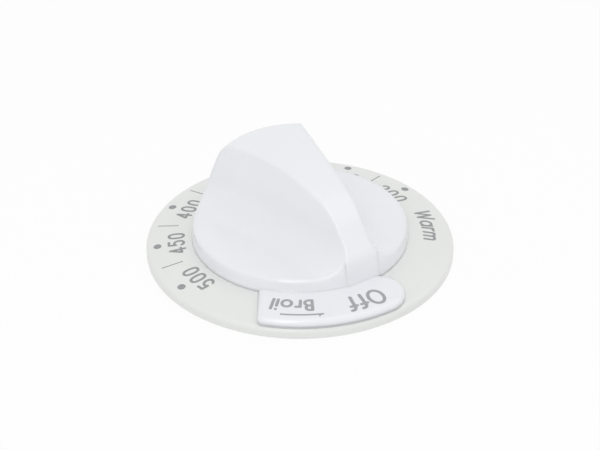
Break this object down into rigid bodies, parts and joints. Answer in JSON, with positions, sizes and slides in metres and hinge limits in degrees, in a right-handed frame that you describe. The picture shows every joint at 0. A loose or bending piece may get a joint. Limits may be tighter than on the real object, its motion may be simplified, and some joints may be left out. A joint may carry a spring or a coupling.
{
  "type": "oven temperature control knob",
  "caption": "Wedge-grip oven knob with a legend tab over a numbered skirt that can be reset against the grip; flatted socket behind.",
  "frame": {"origin": "centre of the skirt's rim, on the plane that the rim stands on", "axes": "+Z along the knob's turning axis, away from the oven's panel; the grip's reading end points to -Y"},
  "size_m": [0.076, 0.076, 0.0249],
  "materials": {
    "body_white": "cool white moulded plastic, semi-gloss",
    "skirt_white": "neutral white moulded plastic, semi-gloss",
    "print_grey": "grey printed marks",
    "plate_steel": "zinc-plated stamped steel",
    "screw_steel": "zinc-plated screw",
    "spring_steel": "spring steel strip"
  },
  "bodies": {
    "knob": {"knob_body": "body_white", "clamp_plate": "plate_steel", "clamp_screw_1": "screw_steel", "clamp_screw_2": "screw_steel", "shaft_clip": "spring_steel"},
    "skirt": {"dial_skirt": "skirt_white"}
  },
  "joints": [
    {"name": "skirt_reset", "type": "hinge", "parent": "knob", "child": "skirt", "pos_m": [0, 0, 0.0044], "axis": [0, 0, 1], "range_deg": [-18, 18]}
  ]
}
